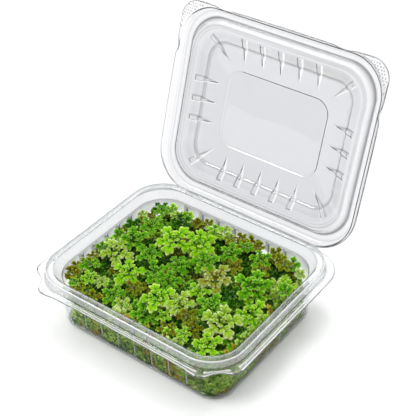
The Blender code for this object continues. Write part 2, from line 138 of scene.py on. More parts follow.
# Above the fern each rib is drawn as a slit of painted shade. The back and left walls carry painted
# shade there, with painted light and shade uneven between the ribs and a painted highlight beside each.
SLIT_HEIGHT = 28.0
SLIT_PAINTED_SHADE = 1.5
PAINTED_PLEATS_TOP = 36.1
PLEAT_PAINTED_LIGHT = 0.6
BACK_SHADE = 0.6
FOLD_PAINTED_HIGHLIGHT = 0.7

# The flanges: height, then outwards the share of their width, rise, how clear (down to painted shade at
# the edge), and how much painted highlight
FLANGE_TOP = 37.5
LID_FLANGE = 37.9
TRAY_FLANGE = (
    (0.12, 0, 0.3, 0), (0.28, 0, 0.6, 0.35), (0.42, 0, 0.6, 0.3), (0.55, 0, 0.3, 0.05), (0.7, 0, 0.4, 0.1),
    (0.82, 0, 0.8, 0.5), (0.92, 0, 0.5, 0.4), (0.965, -0.2, -0.9, 0.1), (1.0, -0.7, -1.0, 0),
)
LID_LIP = (
    (0.15, 0, 1, 0), (0.35, 0, 0.9, 0), (0.6, 0, 0.7, 0), (0.8, 0, 0.8, 0),
    (0.9, 0, 1, 0), (0.95, 0.2, -0.6, 0), (1.0, 0.7, -0.9, 0),
)
# A flange wider than this is a tab, and this clear
TAB_WIDTH = 6.0
TRAY_TAB_CLEAR = 0.35
LID_TAB_CLEAR = 0.85
# Right halves of the flanges' outlines: front corner with its tab, then the round back corner
TRAY_CORNER = (
    (50.0, -67.0), (56.0, -68.4), (61.5, -68.6), (65.2, -66.4), (66.7, -62.9), (68.8, -59.6),
    (71.4, -57.2), (75.8, -55.6), (79.6, -53.0), (80.5, -48.0), (80.0, -42.0),
)
TRAY_BACK_CORNER = ((59.0, 43.8), 21.0)
LID_CORNER_START = (
    (36.2, -65.8), (39.6, -65.2), (43.0, -64.5), (46.4, -64.5), (49.6, -65.1), (53.0, -65.9),
)
LID_CORNER_END = (
    (78.2, -38.0), (77.3, -35.6), (76.6, -33.2), (76.6, -31.6), (77.4, -29.4), (78.6, -27.0),
)
LID_TAB_CENTRE = (65.2, -52.9)
LID_TAB_RADIUS = 13.0
LID_BACK_CORNER = ((50.6, 36.8), 28.0)

# Dots on the lid's tabs: distance, sides, radius and height of foot and crest, height, depth in the
# tab, direction of their side with painted light (the other side has painted shade), rows and columns,
# and the area they keep to
DOT_STEP = 1.9
DOT_SIDES = 8
DOT_RINGS = ((0.72, 0.0), (0.46, 0.24))
DOT_HEIGHT = 0.3
DOT_DEPTH = 0.02
DOT_PAINTED_LIGHT_SIDE = 45.0
DOT_ROWS = (-65.0, -36.0)
DOT_COLUMNS = (48.0, 78.0)
DOT_MARGIN = 1.2
DOT_FRONT = -64.6
DOT_SIDE = 76.8
DOT_BEAD = ((51.0, -39.0), 26.4)

# Finger ribs of the lid: half width, depth, width of a side, length of the boxed outer part, how
# dark the painted shade on one side and at the outer end is (the other side gets painted light),
# width of these painted lines, and places in the shut lid's plan
FINGER_HALF_WIDTH = 2.6
FINGER_DEPTH = 1.2
FINGER_SIDE = 1.3
FINGER_BOX = 5.6
FINGER_SHADE = 0.7
FINGER_END_SHADE = 0.2
FINGER_LINE = 0.36
FINGERS_X = (-28.4, -14.2, 0.0, 14.2, 28.4)
FINGERS_Y = (-14.0, 0.0, 14.0)
FINGER_OUTER = 13.6
FINGER_LENGTH = 16.5
CORNER_FINGER = ((54.5, 45.0), (40.5, 31.5))

# The web at the hinge: half length, thickness, distance from the hinge line, how clear it is, its
# grid, and where its fold lies from the hinge line
WEB_HALF = 50.0
WEB_THICKNESS = 0.25
WEB_START = 0.6
WEB_CLEAR = 0.85
WEB_GRID = (60, 9)
WEB_FOLD = (0.15, -0.35)

# Stations of a ring. A plan has the places with fine stations on both kinds of side, the half
# lengths within which stations keep their place, half the width of a fine stretch, and its step.
CORNER_STATIONS = 40
SIDE_STEP = 2.6
REFERENCE_RUN = (50.8, 38.8)
BED_STATIONS = (((), ()), (20.0, 8.0), 0.0, 1.0)
TRAY_STATIONS = ((WALL_RIBS_X, WALL_RIBS_Y), (43.0, 27.0), 1.6, 0.2)
LID_STATIONS = ((FINGERS_X, FINGERS_Y), (31.5, 16.8), 2.7, 0.36)

# Studio: brightness by height of the look, and lamps as direction, half angle and brightness
WORLD_RISE = ((0.0, 0.5), (0.28, 0.5), (0.38, 0.25), (0.74, 0.25), (0.80, 1.05), (1.0, 1.05))
WORLD_LAMPS = (
    ((-0.49, -0.15, 0.86), 10.0, 9.0), ((-0.45, -0.1, 0.88), 34.0, 0.62), ((0.05, 0.6, 0.8), 9.0, 6.0),
    ((-0.49, 0.62, 0.61), 12.0, 2.2), ((0.8, -0.1, 0.6), 26.0, 0.35),
)
LAMP_EDGE = 0.006

# Fern bed: inset, height and corner radius of side rings, insets of top rings, and mean height
BED_SIDES = (
    (20.0, 1.3, 9.0), (16.0, 1.4, 12.0), (14.2, 4.5, 13.0), (13.9, 10.0, 13.6), (13.7, 16.0, 14.3),
    (13.6, 21.0, 15.0),
)
BED_INSETS = (13.8, 15.8, 19.0, 24.0, 30.0, 37.0, 45.0, 52.0)
BED_TOP = 26.6
# Large plants: how far below the top of the part's plant they start, and how much wider they are
PLANT_SINK = 0.6
PLANT_SPREAD = 1.24
# The wall about as high as the bed's top: inset and corner radius
WALL_INSET = 10.0
WALL_RADIUS = 18.0
# Limit for plants at the wall: heights and its inset there, then heights and its corner radius
WALL_INSIDE = ((1.0, 3.0, 6.0, 16.0, 24.0, 29.0, 35.0, 37.3, 38.2, 42.4),
               (12.0, 11.1, 11.0, 10.8, 10.6, 10.4, 10.2, 9.4, 8.4, 6.6))
WALL_CORNERS = ((1.0, 35.0), (12.3, 18.0))
PRESS_EASE = 1.0
# Limit for plants under the shut lid: height, drop beyond an inset, and how softly they meet it
ROOF = 41.5
ROOF_DROP = 2.7
ROOF_INSET = 22.0
ROOF_FALL = 4.0
ROOF_EASE = 2.0
LOWEST = 1.3
# Small plants between the large ones: number, tries, distance, half area, reach, rise over the bed
# there and at the back, tones, and weights of tones there and at the back
UNDER_COUNT = 190
UNDER_TRIES = 6000
UNDER_APART_SQUARED = 40
UNDER_AREA = (64, 52)
UNDER_REACH = (5.2, 8.2)
UNDER_RISE = (-0.6, 2.6)
BACK_RISE = (4.0, 7.5)
# The dark tone, most used here, is painted shade for plants lying under the large ones
UNDER_TONES = ("dark", "green", "russet", "bright", "pale")
UNDER_WEIGHTS = (6, 2.6, 2.0, 0.6, 0.2)
BACK_WEIGHTS = (1, 4, 4, 2, 0.5)
# The back is within this distance of the wall, behind one line or left of another
BACK_STRIP = 10
BACK_LINE = 20
LEFT_LINE = -30
# Plants against the wall: heights of rows, inset and corner radius with their change by height,
# distance, gap to the wall, turn upwards, scatter in height, reach on sides and at corners, tones (copies
# brightened as painted light)
SIDE_HEIGHTS = (3.0, 7.0, 11.0, 15.0, 19.0, 23.0, 27.0)
SIDE_INSET = (12.9, -0.02)
SIDE_RADIUS = (12.4, 0.14)
SIDE_APART = (4.4, 8.4)
SIDE_GAP = 0.9
SIDE_UPWARDS = (-0.1, 0.35)
SIDE_SCATTER = 1.5
SIDE_REACH = (6.4, 9.6)
CORNER_REACH = (5.4, 7.6)
SIDE_TONES = ("wall_dark", "wall_green", "wall_bright", "wall_russet")
SIDE_WEIGHTS = (1.2, 4.0, 2.0, 1.8)
# Water drops: number on a large plant and on a piece of small plants, radius, flatness, percent of
# a piece that is too low for them, corners and rings
DROPS_ON_PLANT = 13
DROPS_ON_UNDERGROWTH = 130
DROP_RADIUS = (0.24, 0.46)
DROP_FLATNESS = 0.9
DROP_LOW_SHARE = 45
DROP_CORNERS = 7
DROP_RINGS = (0.55, 0.85, 1.0)


def smooth(low, high, value):
    """A smooth step from 0 at low to 1 at high, for numbers or arrays."""
    share = np.clip((value - low) / (high - low), 0.0, 1.0)
    return share * share * (3.0 - 2.0 * share)


def new_piece(name, points, faces, material, uvs=None, flat=False):
    """A mesh object from points in millimetres."""
    mesh = bpy.data.meshes.new(name)
    mesh.from_pydata((np.asarray(points, float) * MM).tolist(), [], faces)
    if uvs is not None:
        layer = mesh.uv_layers.new(name="frond")
        uvs = np.asarray(uvs, np.float32)
        corners = np.zeros(len(mesh.loops), np.int32)
        mesh.loops.foreach_get("vertex_index", corners)
        layer.data.foreach_set("uv", uvs[corners].ravel())
    if not flat:
        mesh.shade_smooth()
    mesh.materials.append(material)
    piece = bpy.data.objects.new(name, mesh)
    bpy.context.scene.collection.objects.link(piece)
    return piece


def strip_faces(rows, columns, wrap=False):
    """Quads of a grid stored row by row."""
    index = np.arange(rows * columns).reshape(rows, columns)
    if wrap:
        index = np.concatenate([index, index[:, :1]], axis=1)
    quads = np.stack([index[:-1, :-1], index[:-1, 1:], index[1:, 1:], index[1:, :-1]], axis=-1)
    return quads.reshape(-1, 4).tolist()


def soften(profile):
    """Cut the corners of a profile so that it bends as formed sheet does."""
    rows = np.array(profile, float)
    near = rows[:-1] * 0.75 + rows[1:] * 0.25
    far = rows[:-1] * 0.25 + rows[1:] * 0.75
    middle = np.stack([near, far], axis=1).reshape(-1, rows.shape[1])
    return np.concatenate([rows[:1], middle[1:-1], rows[-1:]])


def stations(run, which, plan):
    """Places along one straight side of a ring, from its middle."""
    centres, cores, window, fine = plan
    reference, core = REFERENCE_RUN[which], cores[which]
    spots = [np.linspace(-reference, reference, int(2 * reference / SIDE_STEP))[1:-1]]
    spots += [centre + np.arange(-window, window + 0.01, fine) for centre in centres[which]]
    spots = np.unique(np.round(np.concatenate(spots), 3))
    kept = core * min(1.0, (run - 0.6) / core)
    beyond = np.abs(spots) - core
    outer = np.sign(spots) * (kept + beyond * (run - kept) / (reference - core))
    return np.where(beyond > 0, outer, spots * kept / core)


def ring(inset, radius, plan):
    """A rounded rectangle's points, normals, places along their side, and side (0 at a corner)."""
    points, normals, along, side = [], [], [], []
    angles = np.radians(np.linspace(0.0, 90.0, CORNER_STATIONS + 1))
    for quarter in range(4):
        along_y = quarter % 2 == 0
        half = (RIM_WIDTH if along_y else RIM_DEPTH) / 2 - inset
        run = (RIM_DEPTH if along_y else RIM_WIDTH) / 2 - inset - radius
        offsets = stations(run, 1 if along_y else 0, plan)
        turn = math.radians(90.0 * quarter)
        axis = np.array([math.cos(turn), math.sin(turn)])
        across = np.array([-math.sin(turn), math.cos(turn)])
        points.append(axis * half + offsets[:, None] * across)
        normals.append(np.tile(axis, (len(offsets), 1)))
        along.append(offsets)
        side.append(np.full(len(offsets), 1 if along_y else 2))
        centre = axis * (half - radius) + across * run
        arc = np.stack([np.cos(turn + angles), np.sin(turn + angles)], axis=1)
        points.append(centre + radius * arc)
        normals.append(arc)
        along.append(np.zeros(len(angles)))
        side.append(np.zeros(len(angles)))
    return tuple(np.concatenate(part) for part in (points, normals, along, side))


def rounded(points):
    """An outline with its corners cut three times, so that it is smooth."""
    rows = np.array(points, float)
    for _ in range(3):
        after = np.roll(rows, -1, axis=0)
        near, far = rows * 0.75 + after * 0.25, rows * 0.25 + after * 0.75
        rows = np.stack([near, far], axis=1).reshape(-1, 2)
    return rows


def with_mirror(right_side):
    """A closed outline from its right half, run from the front to the back."""
    return [*right_side, *[(-x, y) for x, y in reversed(right_side)]]


def arc_points(centre, radius, start, end):
    """Points on an arc, angles in degrees."""
    angles = np.radians(np.linspace(start, end, 12))
    return [(centre[0] + radius * math.cos(a), centre[1] + radius * math.sin(a)) for a in angles]


def meet_outline(points, normals, outline):
    """Where the ray from each point along its normal leaves an outline."""
    after = np.roll(outline, -1, axis=0)
    edge = after - outline
    gap = outline[None] - points[:, None]
    cross = normals[:, None, 0] * edge[None, :, 1] - normals[:, None, 1] * edge[None, :, 0]
    cross = np.where(np.abs(cross) < 1e-9, 1e-9, cross)
    reach = (gap[..., 0] * edge[None, :, 1] - gap[..., 1] * edge[None, :, 0]) / cross
    part = (gap[..., 0] * normals[:, None, 1] - gap[..., 1] * normals[:, None, 0]) / cross
    good = (reach > 0) & (part >= -1e-6) & (part <= 1 + 1e-6)
    reach = np.where(good, reach, 1e9).min(axis=1)
    return points + normals * reach[:, None]


def wall_ribs(along, side):
    """Share of rib at each station of a straight side."""
    share = np.zeros(len(along))
    for number, centres in ((2, WALL_RIBS_X), (1, WALL_RIBS_Y)):
        for centre in centres:
            here = 1 - smooth(WALL_RIB_CREST, WALL_RIB_HALF, np.abs(along - centre))
            share = np.where(side == number, np.maximum(share, here), share)
    return share


def painted_pleat_light(along, side):
    """Painted light and shade on the sheet between two ribs: +0.5 at the first, falling to -0.5 at the
    second.
    """
    tone = np.zeros(len(along))
    for number, centres in ((2, WALL_RIBS_X), (1, WALL_RIBS_Y)):
        place = (along - centres[0]) / (centres[1] - centres[0])
        between = (place > -1.0) & (place < len(centres))
        tone = np.where((side == number) & between, 0.5 - place % 1.0, tone)
    return tone


def finger_ends():
    """Outer and inner end of each finger rib in the shut lid's plan."""
    both = (-1, 1)
    out_x, out_y = RIM_WIDTH / 2 - FINGER_OUTER, RIM_DEPTH / 2 - FINGER_OUTER
    ends = [((x, s * out_y), (x, s * (out_y - FINGER_LENGTH))) for x in FINGERS_X for s in both]
    ends += [((s * out_x, y), (s * (out_x - FINGER_LENGTH), y)) for y in FINGERS_Y for s in both]
    (out_x, out_y), (in_x, in_y) = CORNER_FINGER
    ends += [((out_x * s, out_y * t), (in_x * s, in_y * t)) for s in both for t in both]
    return ends


def fingers(x, y):
    """Finger ribs at points of the shut lid's plan: depth, and their painted light and shade."""
    depth, tone = np.zeros(len(x)), np.zeros(len(x))
    for outer, inner in finger_ends():
        run = np.array(inner) - np.array(outer)
        length = float(np.hypot(*run))
        run = run / length
        along = (x - outer[0]) * run[0] + (y - outer[1]) * run[1]
        across = -(x - outer[0]) * run[1] + (y - outer[1]) * run[0]
        taper = np.interp(along, (0.0, FINGER_BOX, FINGER_BOX + 0.5, length), (1.0, 1.0, 0.85, 0.2))
        half = FINGER_HALF_WIDTH * taper
        rise = smooth(-0.2, 0.9, along) * (1 - smooth(length * 0.8, length, along))
        slope = np.clip((half - np.abs(across)) / FINGER_SIDE, 0.0, 1.0)
        depth = np.maximum(depth, np.minimum(FINGER_DEPTH, 0.9 * half) * rise * slope)
        # painted lines along the sides: light on the lit side, shade on the other side and at the outer
        # end
        on_side = np.clip(1.6 - np.abs(np.abs(across) - half + 0.6) / FINGER_LINE, 0.0, 1.0)
        on_side *= smooth(-0.4, 0.3, along) * (1 - smooth(length * 0.95, length + 0.6, along))
        lit = (run[0] - run[1]) * np.sign(across) > 0
        at_end = np.clip(1.0 - np.abs(along - 0.2) / 0.5, 0.0, 1.0) * (np.abs(across) < half)
        tone += on_side * np.where(lit, 1.0, -FINGER_SHADE) - FINGER_END_SHADE * at_end
    return depth, np.clip(tone, -1.0, 1.0)


def sheet_mesh(profile, plan, outline, lip, height, tab_clear):
    """One face of a sheet from its middle to its flange's edge: points, how clear (with lines of painted
    light and shade), and painted highlight haze.
    """
    rows, clear, highlight_haze = [], [], []
    for inset, level, radius, share, drawn, painted_highlight in profile:
        points, normals, along, side = ring(inset, radius, plan)
        drawn, painted_highlight = np.full(len(points), float(drawn)), np.full(len(points), float(painted_highlight))
        if share > 0:
            rib = wall_ribs(along, side) * share
            points = points - normals * (rib * WALL_RIB_DEPTH)[:, None]
            if level > SLIT_HEIGHT:
                # a slit of painted shade along the rib
                drawn = drawn - SLIT_PAINTED_SHADE * smooth(0.15, 0.55, rib)
            else:
                # painted shade on the rib's sides and painted highlight on its crest
                drawn = drawn - RIB_SIDE_PAINTED_SHADE * (1.0 - np.abs(2.0 * rib - 1.0))
                painted_highlight = np.maximum(painted_highlight, RIB_CREST_PAINTED_HIGHLIGHT * smooth(0.6, 1.0, rib))
        # painted shade on the back and left walls, uneven between the ribs, with a painted highlight
        # beside each rib
        if SLIT_HEIGHT < level < PAINTED_PLEATS_TOP:
            back_shade_share = smooth(0.0, 0.3, normals[:, 1] - 0.8 * normals[:, 0])
            pleat_light = painted_pleat_light(along, side)
            drawn = drawn + back_shade_share * (PLEAT_PAINTED_LIGHT * pleat_light - BACK_SHADE)
            fold_highlight = smooth(0.22, 0.4, pleat_light) * (1.0 - smooth(0.1, 0.4, wall_ribs(along, side)))
            painted_highlight = np.maximum(painted_highlight, FOLD_PAINTED_HIGHLIGHT * back_shade_share * fold_highlight)
        rows.append(np.column_stack([points, np.full(len(points), level)]))
        clear.append(drawn)
        highlight_haze.append(painted_highlight)
    points, normals, _, _ = ring(profile[-1][0], profile[-1][2], plan)
    edge = meet_outline(points, normals, outline)
    on_tab = np.hypot(*(edge - points).T) > TAB_WIDTH
    for share, rise, drawn, painted_highlight in lip:
        spot = points * (1 - share) + edge * share
        rows.append(np.column_stack([spot, np.full(len(spot), height + rise)]))
        clear.append(np.where(on_tab & (drawn > -0.1), tab_clear, drawn))
        highlight_haze.append(np.where(on_tab, 0.0, painted_highlight))
    return np.stack(rows), np.stack(clear), np.stack(highlight_haze)


def thicken(piece, thickness, side):
    """Give a face its thickness: on its outer side for 1, its inner side for -1, on both for 0."""
    solid = piece.modifiers.new("thickness", "SOLIDIFY")
    solid.thickness = thickness * MM
    solid.offset = side


def formed_sheet(name, grid, clear, highlight_haze, materials, rim_row, outward):
    """A closed sheet from rings. Its faces from rim_row on take the second material."""
    rows, columns, _ = grid.shape
    faces = strip_faces(rows, columns, wrap=True)
    faces.append(list(range(columns))[::-1])
    uvs = np.stack([highlight_haze, 0.5 + 0.5 * np.clip(clear, -1.0, 1.0)], axis=-1)
    piece = new_piece(name, grid.reshape(-1, 3), faces, materials[0], uvs.reshape(-1, 2))
    piece.data.materials.append(materials[1])
    for index in range(rim_row * columns, (rows - 1) * columns):
        piece.data.polygons[index].material_index = 1
    thicken(piece, SHEET, outward)
    return piece


def open_lid(points):
    """Swing points of the shut lid to where it stands in the photograph."""
    points = np.array(points, float)
    angle = -math.radians(OPEN_ANGLE)
    y = points[..., 1] - HINGE_Y
    z = points[..., 2] - HINGE_Z
    points[..., 1] = HINGE_Y + y * math.cos(angle) - z * math.sin(angle)
    points[..., 2] = HINGE_Z + y * math.sin(angle) + z * math.cos(angle)
    return points


# ---- materials


def node_helpers(tree):
    """Helpers for a node tree: one adds a node with its values, one joins an output to an input."""
    def add(kind, **values):
        node = tree.nodes.new(kind)
        for key, value in values.items():
            if key in node.inputs:
                node.inputs[key].default_value = value
            else:
                setattr(node, key, value)
        return node

    def join(source, output, target, entry):
        tree.links.new(source.outputs[output], target.inputs[entry])
    return add, join


def new_material(name, values):
    """A node material, its Principled shader with some values set, and the helpers for its tree."""
    material = bpy.data.materials.new(name)
    material.use_nodes = True
    shader = material.node_tree.nodes["Principled BSDF"]
    for key, value in values.items():
        shader.inputs[key].default_value = value
    return material, shader, *node_helpers(material.node_tree)


def ramp(add, join, source, output, stops):
    """A colour ramp over an output, from pairs of a place and a colour or brightness."""
    node = add("ShaderNodeValToRGB")
    join(source, output, node, "Fac")
    elements = node.color_ramp.elements
    while len(elements) < len(stops):
        elements.new(0.5)
    for element, (place, colour) in zip(elements, stops):
        element.position = place
        element.color = (*(colour if isinstance(colour, tuple) else (colour,) * 3), 1.0)
    return node


def bumps(add, join, source, output, shader, **values):
    """Unevenness of a surface from a texture."""
    bump = add("ShaderNodeBump", **values)
    join(source, output, bump, "Height")
    join(bump, "Normal", shader, "Normal")


def clear_plastic(name, tint, bend):
    """Thin clear formed sheet. The map's Y says how clear it is, from lines of painted shade to painted
    light, its X how much painted highlight it carries as milky sheet.
    """
    material, shader, add, join = new_material(name, {"Roughness": 0.02, "IOR": bend})
    place = add("ShaderNodeTexCoord")
    split = add("ShaderNodeSeparateXYZ")
    join(place, "UV", split, "Vector")
    # colour of the lines of painted shade
    dark = tuple(c * 0.4 for c in tint)
    local = ramp(add, join, split, "Y", ((0.0, dark), (0.5, tint), (1.0, (0.97, 0.97, 0.975))))
    edge_on = add("ShaderNodeLayerWeight", Blend=0.5)
    depth = ramp(add, join, edge_on, "Facing", (
        (0.0, 1.0), (0.6, 0.97), (0.85, (0.88, 0.88, 0.89)), (0.98, (0.55, 0.55, 0.56))))
    tone = add("ShaderNodeMix", data_type="RGBA", blend_type="MULTIPLY", Factor=1.0)
    join(local, "Color", tone, "A")
    join(depth, "Color", tone, "B")
    join(tone, "Result", shader, "Base Color")
    waves = add("ShaderNodeTexNoise", Scale=45.0, Detail=1.0)
    join(place, "Object", waves, "Vector")
    bumps(add, join, waves, "Fac", shader, Strength=0.06, Distance=0.001)
    # painted highlight: where X is high the sheet turns milky and passes less light
    highlight_milkiness = add("ShaderNodeMapRange", **{"To Min": 1.0, "To Max": 0.0})
    join(split, "X", highlight_milkiness, "Value")
    join(highlight_milkiness, "Result", shader, "Transmission Weight")
    passing = add("ShaderNodeBsdfTransparent", Color=(0.95, 0.955, 0.95, 1.0))
    path = add("ShaderNodeLightPath")
    mix = add("ShaderNodeMixShader")
    join(path, "Is Shadow Ray", mix, "Fac")
    join(shader, "BSDF", mix, 1)
    join(passing, "BSDF", mix, 2)
    join(mix, "Shader", material.node_tree.nodes["Material Output"], "Surface")
    return material


def leaf(name, core, body, edge, spot):
    """Wet fern leaf: dark along its veins and with painted shade at its base, pale at its toothed edge
    (its own colour with painted highlight), covered in tiny scales with painted shade between them.
    """
    material, shader, add, join = new_material(name, {"Specular IOR Level": 0.04})
    place = add("ShaderNodeTexCoord")
    split = add("ShaderNodeSeparateXYZ")
    join(place, "UV", split, "Vector")
    # UV Y: painted shade at a lobe's base in the vein colour, then the blade, then the pale edge with
    # painted highlight
    across = ramp(add, join, split, "Y", ((0.0, core), (0.34, body), (0.68, body), (0.9, edge)))
    vein = ramp(add, join, split, "X", ((0.40, 0.0), (0.49, 1.0), (0.51, 1.0), (0.60, 0.0)))
    fade = ramp(add, join, split, "Y", ((0.4, 0.9), (0.9, 0.0)))
    veins = add("ShaderNodeMath", operation="MULTIPLY")
    join(vein, "Color", veins, 0)
    join(fade, "Color", veins, 1)
    veined = add("ShaderNodeMix", data_type="RGBA", B=(*core, 1.0))
    join(veins, "Value", veined, "Factor")
    join(across, "Color", veined, "A")
    blotch = add("ShaderNodeTexNoise", Scale=330.0, Detail=4.0)
    join(place, "Object", blotch, "Vector")
    patch = ramp(add, join, blotch, "Fac", ((0.46, 0.0), (0.72, 1.0)))
    mottled = add("ShaderNodeMix", data_type="RGBA", B=(*spot, 1.0))
    join(patch, "Color", mottled, "Factor")
    join(veined, "Result", mottled, "A")
    # darker away from each scale's middle: painted shade between the scales
    scales = add("ShaderNodeTexVoronoi", Scale=1500.0, feature="F1")
    join(place, "Object", scales, "Vector")
    shade = ramp(add, join, scales, "Distance", ((0.0, 1.0), (0.75, 0.6)))
    shaded_between_scales = add("ShaderNodeMix", data_type="RGBA", blend_type="MULTIPLY", Factor=0.5)
    join(mottled, "Result", shaded_between_scales, "A")
    join(shade, "Color", shaded_between_scales, "B")
    join(shaded_between_scales, "Result", shader, "Base Color")
    bumps(add, join, scales, "Distance", shader, Strength=0.6, Distance=0.0003, invert=True)
    wet = ramp(add, join, blotch, "Fac", ((0.4, 0.2), (0.62, 0.5)))
    join(wet, "Color", shader, "Roughness")
    return material


def bed_material():
    """Wet litter with green and brown in it, with painted shade on top, where it lies under the plants,
    and painted light on its sides below.
    """
    values = {"Roughness": 0.5, "Specular IOR Level": 0.1}
    material, shader, add, join = new_material("fern_bed_litter", values)
    place = add("ShaderNodeTexCoord")
    litter = add("ShaderNodeTexNoise", Scale=260.0, Detail=6.0)
    join(place, "Object", litter, "Vector")
    tone = ramp(add, join, litter, "Fac", (
        (0.3, (0.008, 0.018, 0.002)), (0.48, (0.02, 0.06, 0.003)),
        (0.6, (0.05, 0.12, 0.006)), (0.75, (0.12, 0.08, 0.008))))
    lit = ramp(add, join, litter, "Fac", (
        (0.3, (0.03, 0.07, 0.004)), (0.48, (0.09, 0.20, 0.010)),
        (0.6, (0.17, 0.30, 0.02)), (0.75, (0.26, 0.17, 0.02))))
    split = add("ShaderNodeSeparateXYZ")
    join(place, "Object", split, "Vector")
    # the dark colours above this height are painted shade on the bed's top; the lighter ones below are
    # painted light
    level = add("ShaderNodeMapRange", **{"From Min": 0.020, "From Max": 0.025})
    join(split, "Z", level, "Value")
    sides = add("ShaderNodeMix", data_type="RGBA")
    join(level, "Result", sides, "Factor")
    join(lit, "Color", sides, "A")
    join(tone, "Color", sides, "B")
    join(sides, "Result", shader, "Base Color")
    bumps(add, join, litter, "Fac", shader, Strength=0.9, Distance=0.002)
    return material


def plain_material(name, values, scale, stops):
    """One material with a trace of unevenness in its colour."""
    material, shader, add, join = new_material(name, values)
    place = add("ShaderNodeTexCoord")
    uneven = add("ShaderNodeTexNoise", Scale=scale, Detail=1.0)
    join(place, "Object", uneven, "Vector")
    tone = ramp(add, join, uneven, "Fac", stops)
    join(tone, "Color", shader, "Base Color")
    return material


# Leaf colours: veins (also painted shade at a leaf's base), blade, toothed edge (its own pale colour
# with painted highlight) and blotches
LEAF_TONES = {
    "green": ((0.008, 0.05, 0.001), (0.13, 0.45, 0.002), (0.52, 0.86, 0.10), (0.05, 0.25, 0.002)),
    "bright": ((0.03, 0.15, 0.001), (0.30, 0.70, 0.003), (0.78, 0.98, 0.24), (0.17, 0.52, 0.002)),
    "pale": ((0.12, 0.22, 0.006), (0.40, 0.66, 0.05), (0.90, 0.98, 0.50), (0.26, 0.48, 0.02)),
    "mint": ((0.12, 0.07, 0.003), (0.34, 0.46, 0.04), (0.84, 0.92, 0.44), (0.26, 0.25, 0.01)),
    # dark: a darker copy of the greens, painted shade for small plants under the large ones
    "dark": ((0.003, 0.018, 0.001), (0.02, 0.13, 0.001), (0.14, 0.40, 0.02), (0.008, 0.05, 0.001)),
    "russet": ((0.05, 0.028, 0.001), (0.18, 0.24, 0.003), (0.44, 0.60, 0.05), (0.15, 0.09, 0.002)),
    # wall tones: brighter copies of the others, painted light for plants in the shade against the walls
    "wall_green": ((0.04, 0.11, 0.002), (0.34, 0.62, 0.05), (0.62, 0.84, 0.20), (0.18, 0.40, 0.01)),
    "wall_bright": ((0.12, 0.24, 0.006), (0.58, 0.82, 0.18), (0.80, 0.94, 0.42), (0.40, 0.64, 0.06)),
    "wall_dark": ((0.01, 0.03, 0.001), (0.12, 0.29, 0.01), (0.26, 0.48, 0.05), (0.06, 0.16, 0.004)),
    "wall_russet": ((0.14, 0.08, 0.003), (0.42, 0.34, 0.015), (0.56, 0.50, 0.06), (0.30, 0.18, 0.006)),
}


# ---- fern


# Lobes of a frond: place on its midrib, angle from it, length and half width, for a frond one long
FROND_LOBES = ((0.36, 72.0, 0.34, 0.125), (0.58, 46.0, 0.38, 0.135), (0.64, 0.0, 0.36, 0.14))


def lobe(root, angle, length, half, fine):
    """One rounded lobe of a frond, with three teeth at its end: a grid of points and its UVs."""
    across = np.linspace(-1.0, 1.0, 7 if fine else 3)
    along = np.linspace(0.0, 1.0, 5 if fine else 3) ** 0.8
    teeth = 0.07 * np.cos(3.0 * math.pi * across) if fine else 0.0
    end = (1.0 - 0.30 * np.abs(across) ** 2.2) * (1.0 + teeth)
    width = half * np.interp(along, (0.0, 0.35, 0.7, 0.9, 1.0), (0.62, 0.84, 1.0, 0.92, 0.70))
    out = length * along[:, None] * end[None]
    side = width[:, None] * across[None]
    rise = 0.05 * np.sin(math.pi * along)[:, None] - 0.32 * half * across[None] ** 2
    rise = rise - 0.05 * along[:, None] ** 3
    turn = math.radians(angle)
    x = root + out * math.cos(turn) - side * math.sin(turn)
    y = out * math.sin(turn) + side * math.cos(turn)
    points = np.stack([x, y, rise], axis=-1)
    # UV Y: the lobe's base gets the painted shade colour, its rim the pale edge with painted highlight
    edge = np.where(along[:, None] > 0.3, np.abs(across[None]) ** 1.4, 0.0)
    rim = np.maximum(along[:, None], edge)
    uvs = np.stack(np.broadcast_arrays(0.5 + 0.5 * across[None], rim), axis=-1)
    return points, uvs


def frond(length, fine, lift, droop):
    """One frond along +X: paired round lobes on a midrib, and one at its tip."""
    points, uvs, faces, count = [], [], [], 0
    for number, (root, angle, reach, half) in enumerate(FROND_LOBES):
        for sign in ((1,) if angle == 0 else (1, -1)):
            turn = sign * (angle + chance.uniform(-5, 5))
            span = reach * chance.uniform(0.88, 1.08)
            grid, place_on = lobe(root, turn, span, half * chance.uniform(0.92, 1.06), fine)
            grid[..., 2] += 0.004 * number
            rows, columns, _ = grid.shape
            faces += [[i + count for i in q] for q in strip_faces(rows, columns)]
            points.append(grid.reshape(-1, 3))
            uvs.append(place_on.reshape(-1, 2))
            count += rows * columns
    steps = 6 if fine else 3
    x = np.linspace(0.0, 0.86, steps + 1)
    half = np.interp(x, (0.0, 0.2, 0.45, 0.7, 0.86), (0.022, 0.03, 0.10, 0.10, 0.02))
    strip = np.stack([np.column_stack([x, v * half, np.full(len(x), -0.012 * abs(v) + 0.006)])
                      for v in (-1.0, 0.0, 1.0)], axis=1)
    faces += [[i + count for i in q[::-1]] for q in strip_faces(steps + 1, 3)]
    points.append(strip.reshape(-1, 3))
    uvs.append(np.tile([[0.5 - 0.3, 0.15], [0.5, 0.0], [0.5 + 0.3, 0.15]], (steps + 1, 1)))
    points = np.concatenate(points)
    points[:, 2] += lift * points[:, 0] - droop * points[:, 0] ** 2 + 0.10 * np.abs(points[:, 1])
    return points * length, np.concatenate(uvs), faces


def turned(points, spin, tilt, roll):
    """Points of a frond rolled, tilted up and spun about +Z."""
    matrix = Matrix.Rotation(spin, 3, "Z") @ Matrix.Rotation(-tilt, 3, "Y")
    matrix = matrix @ Matrix.Rotation(roll, 3, "X")
    return points @ np.array(matrix).T


